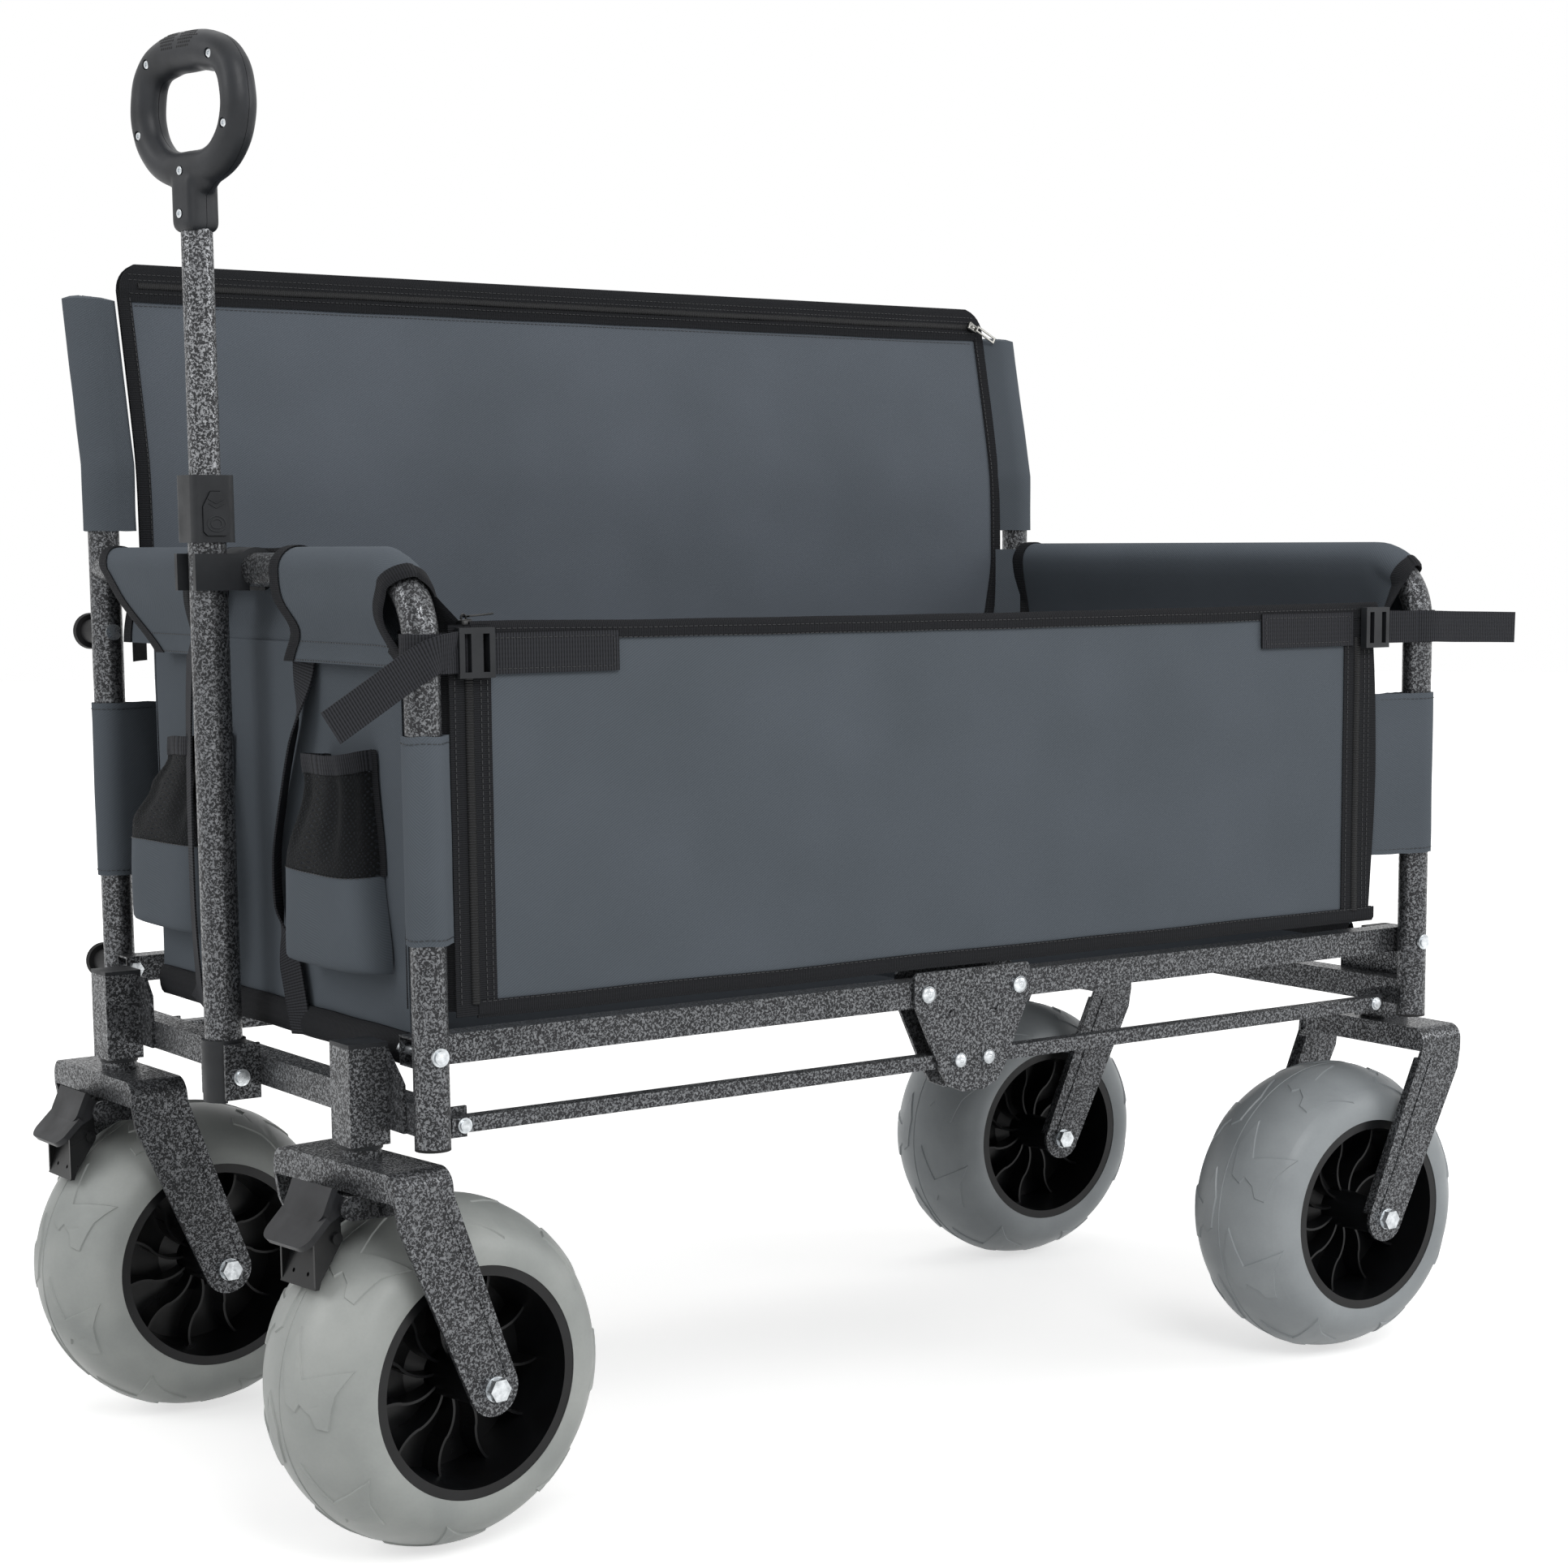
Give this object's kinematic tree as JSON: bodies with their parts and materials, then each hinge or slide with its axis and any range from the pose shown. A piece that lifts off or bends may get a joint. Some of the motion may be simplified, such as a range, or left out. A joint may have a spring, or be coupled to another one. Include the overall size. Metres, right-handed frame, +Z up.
{
  "type": "folding wagon bench",
  "caption": "Folding fabric-sided wagon with a high backrest wall, a telescopic pull handle, swivelling braked front wheels and wide balloon tyres.",
  "frame": {"origin": "on the ground under the middle of the outline", "axes": "+X from the handle end to the rear, +Y towards the backrest side, +Z up"},
  "size_m": [1.15, 0.6295, 1.078],
  "materials": {
    "frame_enamel": "dark hammertone enamel on steel",
    "zinc": "bright zinc plating",
    "black_plastic": "matt moulded plastic",
    "grip_plastic": "satin moulded plastic",
    "rubber": "smooth moulded rubber",
    "tyre_front": "matt light grey tyre rubber",
    "tyre_rear": "matt grey tyre rubber",
    "hub_plastic": "black moulded plastic with a low sheen",
    "grey_fabric": "grey coated twill",
    "pocket_fabric": "grey twill with black mesh",
    "padding": "dark twill over a foam-faced board"
  },
  "bodies": {
    "front_frame": {"front_hoop": "frame_enamel", "front_post": "frame_enamel", "front_crossbar": "frame_enamel", "front_caster_housings": "frame_enamel", "caster_bushes": "black_plastic", "handle_clip": "black_plastic", "front_pivot_bolts": "zinc", "front_end_caps": "rubber", "front_end_panel": "grey_fabric", "front_pockets": "pocket_fabric", "front_flaps": "grey_fabric", "front_sleeves": "grey_fabric", "back_panel": "grey_fabric"},
    "lower_handle": {"lower_handle_tube": "frame_enamel", "handle_foot": "black_plastic", "handle_collar": "black_plastic"},
    "handle_button": {"release_button": "black_plastic"},
    "upper_handle": {"upper_handle_tube": "frame_enamel", "grip_front_shell": "grip_plastic", "grip_rear_shell": "grip_plastic", "grip_screws": "zinc"},
    "near_caster": {"near_caster_fork": "frame_enamel", "near_front_axle": "zinc", "near_brake_bracket": "frame_enamel"},
    "far_caster": {"far_caster_fork": "frame_enamel", "far_front_axle": "zinc", "far_brake_bracket": "frame_enamel"},
    "near_brake": {"near_brake_pedal": "black_plastic", "near_brake_shoe": "frame_enamel"},
    "far_brake": {"far_brake_pedal": "black_plastic", "far_brake_shoe": "frame_enamel"},
    "near_front_wheel": {"near_front_tyre": "tyre_front", "near_front_hub": "hub_plastic"},
    "far_front_wheel": {"far_front_tyre": "tyre_front", "far_front_hub": "hub_plastic"},
    "near_rear_wheel": {"near_rear_tyre": "tyre_rear", "near_rear_hub": "hub_plastic"},
    "far_rear_wheel": {"far_rear_tyre": "tyre_rear", "far_rear_hub": "hub_plastic"},
    "front_rails": {"front_upper_rails": "frame_enamel", "front_floor": "padding"},
    "front_links": {"front_lower_rails": "frame_enamel"},
    "fold_brackets": {"centre_brackets": "frame_enamel", "bracket_rivets": "zinc"},
    "rear_rails": {"rear_upper_rails": "frame_enamel", "rear_floor": "padding"},
    "rear_links": {"rear_lower_rails": "frame_enamel"},
    "rear_frame": {"rear_hoop": "frame_enamel", "rear_post": "frame_enamel", "rear_crossbar": "frame_enamel", "rear_forks": "frame_enamel", "rear_axles": "zinc", "rear_pivot_bolts": "zinc", "rear_end_caps": "rubber", "rear_end_panel": "grey_fabric", "rear_flap": "grey_fabric", "rear_sleeves": "grey_fabric"},
    "near_wall": {"near_panel": "grey_fabric", "front_buckle": "black_plastic"},
    "rear_buckle_slide": {"rear_buckle": "black_plastic"}
  },
  "joints": [
    {"name": "fold", "type": "hinge", "parent": "front_frame", "child": "front_rails", "pos_m": [-0.477, -0.017, 0.364], "axis": [0, -1, 0], "range_deg": [0, 70], "deforming": ["near_panel", "back_panel"]},
    {"name": "bracket_pivot", "type": "hinge", "parent": "front_rails", "child": "fold_brackets", "pos_m": [-0.045, -0.017, 0.364], "axis": [0, -1, 0], "range_deg": [-70, 0]},
    {"name": "rear_rail_pivot", "type": "hinge", "parent": "fold_brackets", "child": "rear_rails", "pos_m": [0.045, -0.017, 0.364], "axis": [0, -1, 0], "range_deg": [-70, 0]},
    {"name": "rear_frame_pivot", "type": "hinge", "parent": "rear_rails", "child": "rear_frame", "pos_m": [0.477, -0.017, 0.364], "axis": [0, -1, 0], "range_deg": [0, 70]},
    {"name": "front_link_pivot", "type": "hinge", "parent": "front_frame", "child": "front_links", "pos_m": [-0.446, -0.017, 0.3095], "axis": [0, -1, 0], "range_deg": [0, 70]},
    {"name": "rear_link_pivot", "type": "hinge", "parent": "fold_brackets", "child": "rear_links", "pos_m": [0.014, -0.017, 0.3095], "axis": [0, -1, 0], "range_deg": [-70, 0]},
    {"name": "handle_pivot", "type": "hinge", "parent": "front_frame", "child": "lower_handle", "pos_m": [-0.504, -0.017, 0.315], "axis": [0, -1, 0], "range_deg": [0, 90]},
    {"name": "handle_extend", "type": "slide", "parent": "lower_handle", "child": "upper_handle", "axis": [0, 0, 1], "range_m": [-0.165, 0.13]},
    {"name": "button_press", "type": "slide", "parent": "lower_handle", "child": "handle_button", "axis": [0, 1, 0], "range_m": [0, 0.0018], "stiffness_N_per_m": 800},
    {"name": "near_caster_swivel", "type": "hinge", "parent": "front_frame", "child": "near_caster", "pos_m": [-0.503, -0.237, 0.288], "axis": [0, 0, 1], "continuous": true},
    {"name": "near_front_wheel_spin", "type": "hinge", "parent": "near_caster", "child": "near_front_wheel", "pos_m": [-0.4494, -0.23042, 0.126], "axis": [-0.1219, 0.9925, 0], "continuous": true},
    {"name": "near_brake_press", "type": "hinge", "parent": "near_caster", "child": "near_brake", "pos_m": [-0.53178, -0.24053, 0.26], "axis": [0.1219, -0.9925, 0], "range_deg": [0, 4.8]},
    {"name": "far_caster_swivel", "type": "hinge", "parent": "front_frame", "child": "far_caster", "pos_m": [-0.503, 0.203, 0.288], "axis": [0, 0, 1], "continuous": true},
    {"name": "far_front_wheel_spin", "type": "hinge", "parent": "far_caster", "child": "far_front_wheel", "pos_m": [-0.44903, 0.20489, 0.126], "axis": [-0.0349, 0.9994, 0], "continuous": true},
    {"name": "far_brake_press", "type": "hinge", "parent": "far_caster", "child": "far_brake", "pos_m": [-0.53198, 0.20199, 0.26], "axis": [0.0349, -0.9994, 0], "range_deg": [0, 4.8]},
    {"name": "near_rear_wheel_spin", "type": "hinge", "parent": "rear_frame", "child": "near_rear_wheel", "pos_m": [0.431, -0.237, 0.126], "axis": [0, 1, 0], "continuous": true},
    {"name": "far_rear_wheel_spin", "type": "hinge", "parent": "rear_frame", "child": "far_rear_wheel", "pos_m": [0.431, 0.203, 0.126], "axis": [0, 1, 0], "continuous": true},
    {"name": "near_wall_drop", "type": "hinge", "parent": "front_frame", "child": "near_wall", "pos_m": [0, -0.295, 0.388], "axis": [1, 0, 0], "range_deg": [0, 160]},
    {"name": "rear_buckle_follow", "type": "slide", "parent": "near_wall", "child": "rear_buckle_slide", "axis": [1, 0, 0], "range_m": [-0.56, 0]}
  ],
  "couplings": [
    {"joint": "bracket_pivot", "follows": "fold", "ratio": -1},
    {"joint": "rear_rail_pivot", "follows": "fold", "ratio": -1},
    {"joint": "rear_frame_pivot", "follows": "fold", "ratio": 1},
    {"joint": "front_link_pivot", "follows": "fold", "ratio": 1},
    {"joint": "rear_link_pivot", "follows": "fold", "ratio": -1},
    {"joint": "rear_buckle_follow", "follows": "fold", "m_per_rad": -0.45837}
  ]
}
